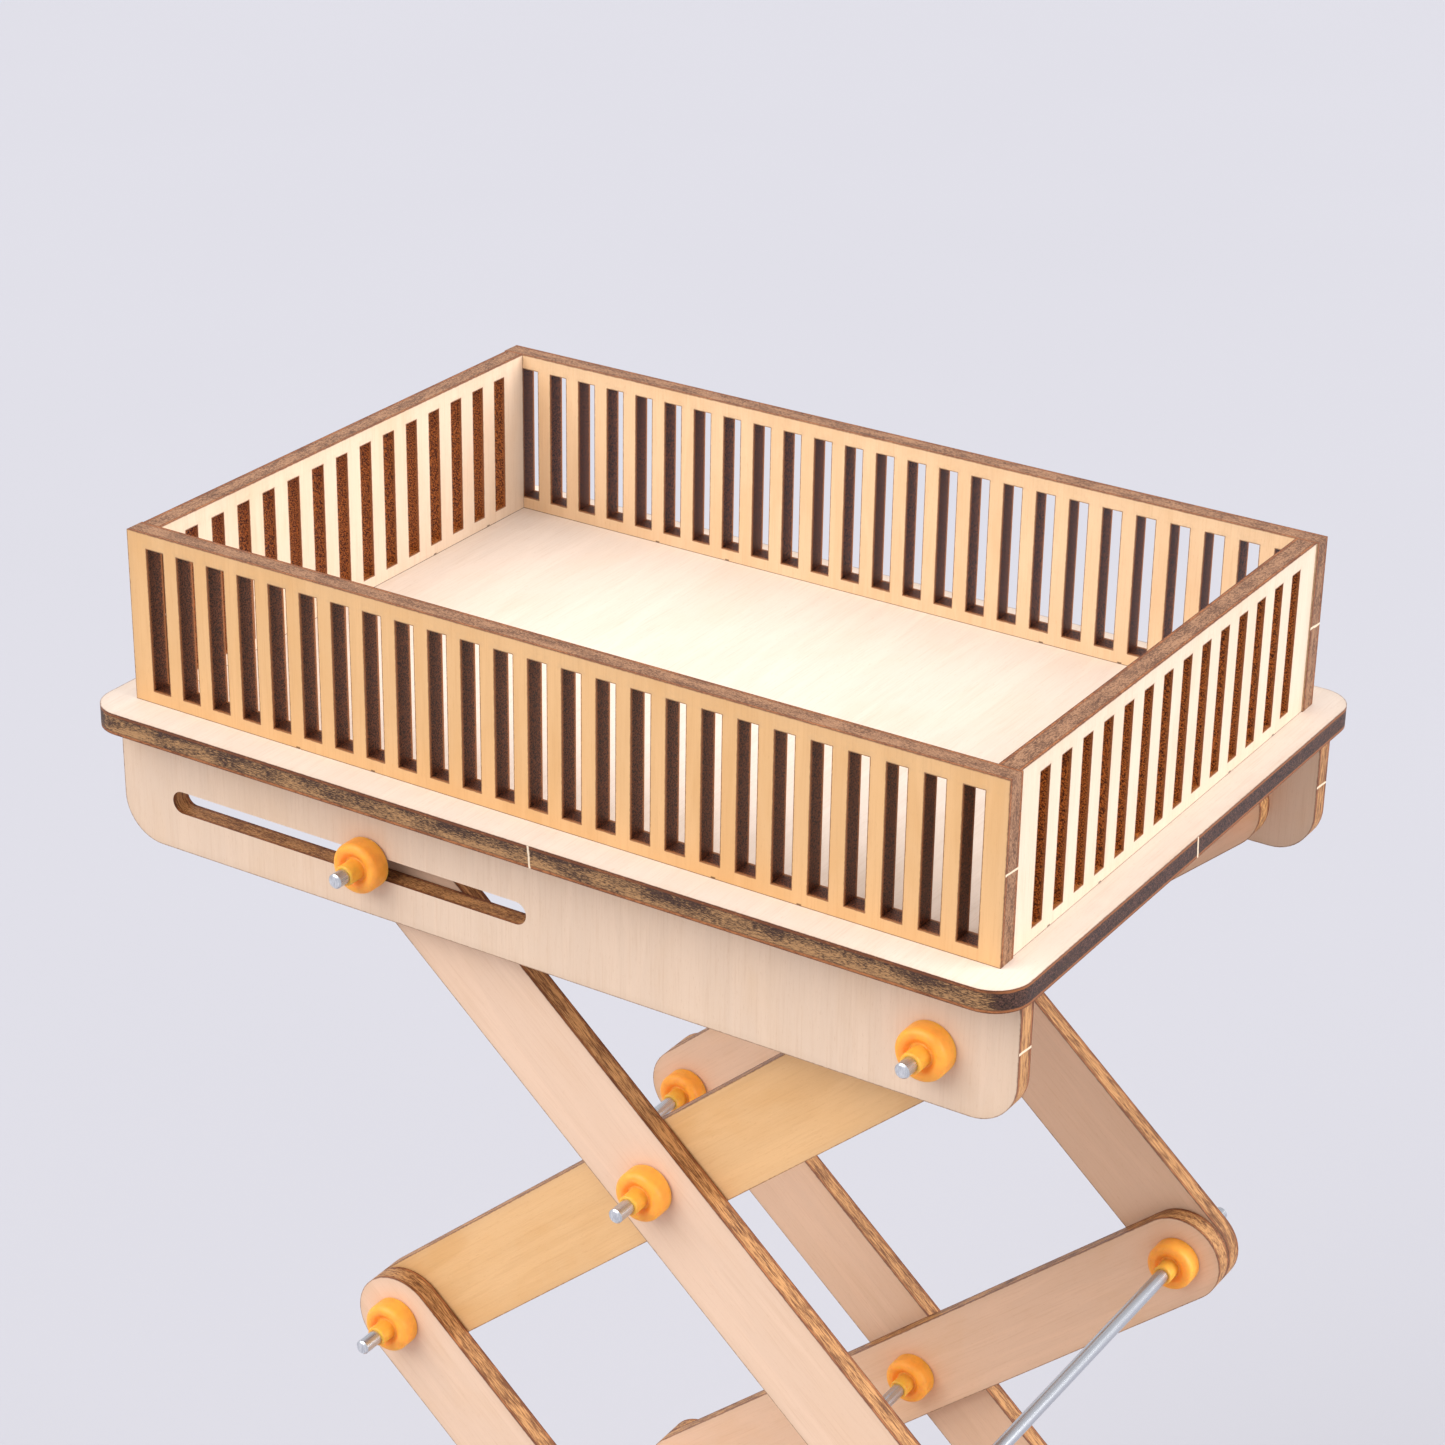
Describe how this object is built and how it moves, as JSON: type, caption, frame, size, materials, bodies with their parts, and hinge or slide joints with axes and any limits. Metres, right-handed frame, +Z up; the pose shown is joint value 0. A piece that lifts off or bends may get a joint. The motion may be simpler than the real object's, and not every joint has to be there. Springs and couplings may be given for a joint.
{
  "type": "toy scissor lift platform",
  "caption": "Laser-cut plywood scissor lift of stacked stages, with a slatted fence around its deck, steel cross rods with silicone stops and a hand-cranked lead screw in the base.",
  "frame": {"origin": "middle of the base plate's underside", "axes": "+X along the deck towards the pivoting end, +Y from the front rails to the back ones, +Z up"},
  "size_m": [0.1583, 0.1, 0.2785],
  "materials": {
    "birch_ply": "bare laser-cut birch plywood, 3 mm, with scorched edges",
    "rod_steel": "bright drawn steel rod",
    "orange_silicone": "smooth satin orange silicone",
    "nut_nylon": "matt off-white nylon",
    "grip_wood": "turned bare beech"
  },
  "bodies": {
    "base": {"base_plate": "birch_ply", "base_rail_front": "birch_ply", "base_rail_back": "birch_ply", "screw_board_left": "birch_ply", "screw_board_middle": "birch_ply", "base_pivot_rod": "rod_steel", "base_pivot_stops": "orange_silicone"},
    "lower_outer_arms": {"lower_outer_arm_front": "birch_ply", "lower_outer_arm_back": "birch_ply", "lower_left_joint_rod": "rod_steel", "lower_left_joint_stops": "orange_silicone", "lower_centre_rod": "rod_steel", "lower_centre_stops": "orange_silicone"},
    "lower_inner_arms": {"lower_inner_arm_front": "birch_ply", "lower_inner_arm_back": "birch_ply", "lower_right_joint_rod": "rod_steel", "lower_right_joint_stops": "orange_silicone", "base_slider_rod": "rod_steel", "base_slider_stops": "orange_silicone"},
    "middle_inner_arms": {"middle_inner_arm_front": "birch_ply", "middle_inner_arm_back": "birch_ply", "upper_right_joint_rod": "rod_steel", "upper_right_joint_stops": "orange_silicone", "middle_centre_rod": "rod_steel", "middle_centre_stops": "orange_silicone"},
    "middle_outer_arms": {"middle_outer_arm_front": "birch_ply", "middle_outer_arm_back": "birch_ply", "upper_left_joint_rod": "rod_steel", "upper_left_joint_stops": "orange_silicone"},
    "upper_inner_arms": {"upper_inner_arm_front": "birch_ply", "upper_inner_arm_back": "birch_ply", "upper_centre_rod": "rod_steel", "upper_centre_stops": "orange_silicone"},
    "upper_outer_arms": {"upper_outer_arm_front": "birch_ply", "upper_outer_arm_back": "birch_ply", "deck_slider_rod": "rod_steel", "deck_slider_stops": "orange_silicone"},
    "platform": {"deck": "birch_ply", "fence_front": "birch_ply", "fence_back": "birch_ply", "fence_left": "birch_ply", "fence_right": "birch_ply", "deck_rail_front": "birch_ply", "deck_rail_back": "birch_ply", "deck_pivot_rod": "rod_steel", "deck_pivot_stops": "orange_silicone"},
    "nut": {"nut_block": "nut_nylon"},
    "screw": {"lead_screw": "rod_steel", "screw_collars": "orange_silicone", "crank_arm": "birch_ply", "crank_pin": "rod_steel", "crank_grip": "grip_wood"}
  },
  "joints": [
    {"name": "lift", "type": "hinge", "parent": "base", "child": "lower_outer_arms", "pos_m": [0.056, 0, 0.024], "axis": [0, 1, 0], "range_deg": [-28.7, 15.8]},
    {"name": "lower_centre_hinge", "type": "hinge", "parent": "lower_outer_arms", "child": "lower_inner_arms", "pos_m": [0.01464, 0, 0.06025], "axis": [0, 1, 0], "range_deg": [-31.7, 58.5]},
    {"name": "lower_left_hinge", "type": "hinge", "parent": "lower_outer_arms", "child": "middle_inner_arms", "pos_m": [-0.02673, 0, 0.0965], "axis": [0, 1, 0], "range_deg": [-31.7, 58.5]},
    {"name": "middle_centre_hinge", "type": "hinge", "parent": "middle_inner_arms", "child": "middle_outer_arms", "pos_m": [0.01464, 0, 0.13275], "axis": [0, 1, 0], "range_deg": [-58.5, 31.7]},
    {"name": "upper_left_hinge", "type": "hinge", "parent": "middle_outer_arms", "child": "upper_inner_arms", "pos_m": [-0.02673, 0, 0.169], "axis": [0, 1, 0], "range_deg": [-31.7, 58.5]},
    {"name": "upper_centre_hinge", "type": "hinge", "parent": "upper_inner_arms", "child": "upper_outer_arms", "pos_m": [0.01464, 0, 0.20525], "axis": [0, 1, 0], "range_deg": [-58.5, 31.7]},
    {"name": "deck_pivot_hinge", "type": "hinge", "parent": "upper_inner_arms", "child": "platform", "pos_m": [0.056, 0, 0.2415], "axis": [0, 1, 0], "range_deg": [-29.3, 15.9]},
    {"name": "nut_hinge", "type": "hinge", "parent": "lower_inner_arms", "child": "nut", "pos_m": [-0.02673, 0, 0.024], "axis": [0, 1, 0], "range_deg": [-29.3, 15.9]},
    {"name": "crank_turn", "type": "hinge", "parent": "base", "child": "screw", "pos_m": [-0.0735, 0, 0.015], "axis": [1, 0, 0], "range_deg": [-760, 1380]}
  ],
  "couplings": [
    {"joint": "lower_centre_hinge", "follows": "lift", "ratio": -2},
    {"joint": "lower_left_hinge", "follows": "lift", "ratio": -2},
    {"joint": "middle_centre_hinge", "follows": "lift", "ratio": 2},
    {"joint": "upper_left_hinge", "follows": "lift", "ratio": -2},
    {"joint": "upper_centre_hinge", "follows": "lift", "ratio": 2},
    {"joint": "deck_pivot_hinge", "follows": "lift", "ratio": 1},
    {"joint": "nut_hinge", "follows": "lift", "ratio": 1},
    {"joint": "crank_turn", "follows": "lift", "ratio": -48.05}
  ]
}
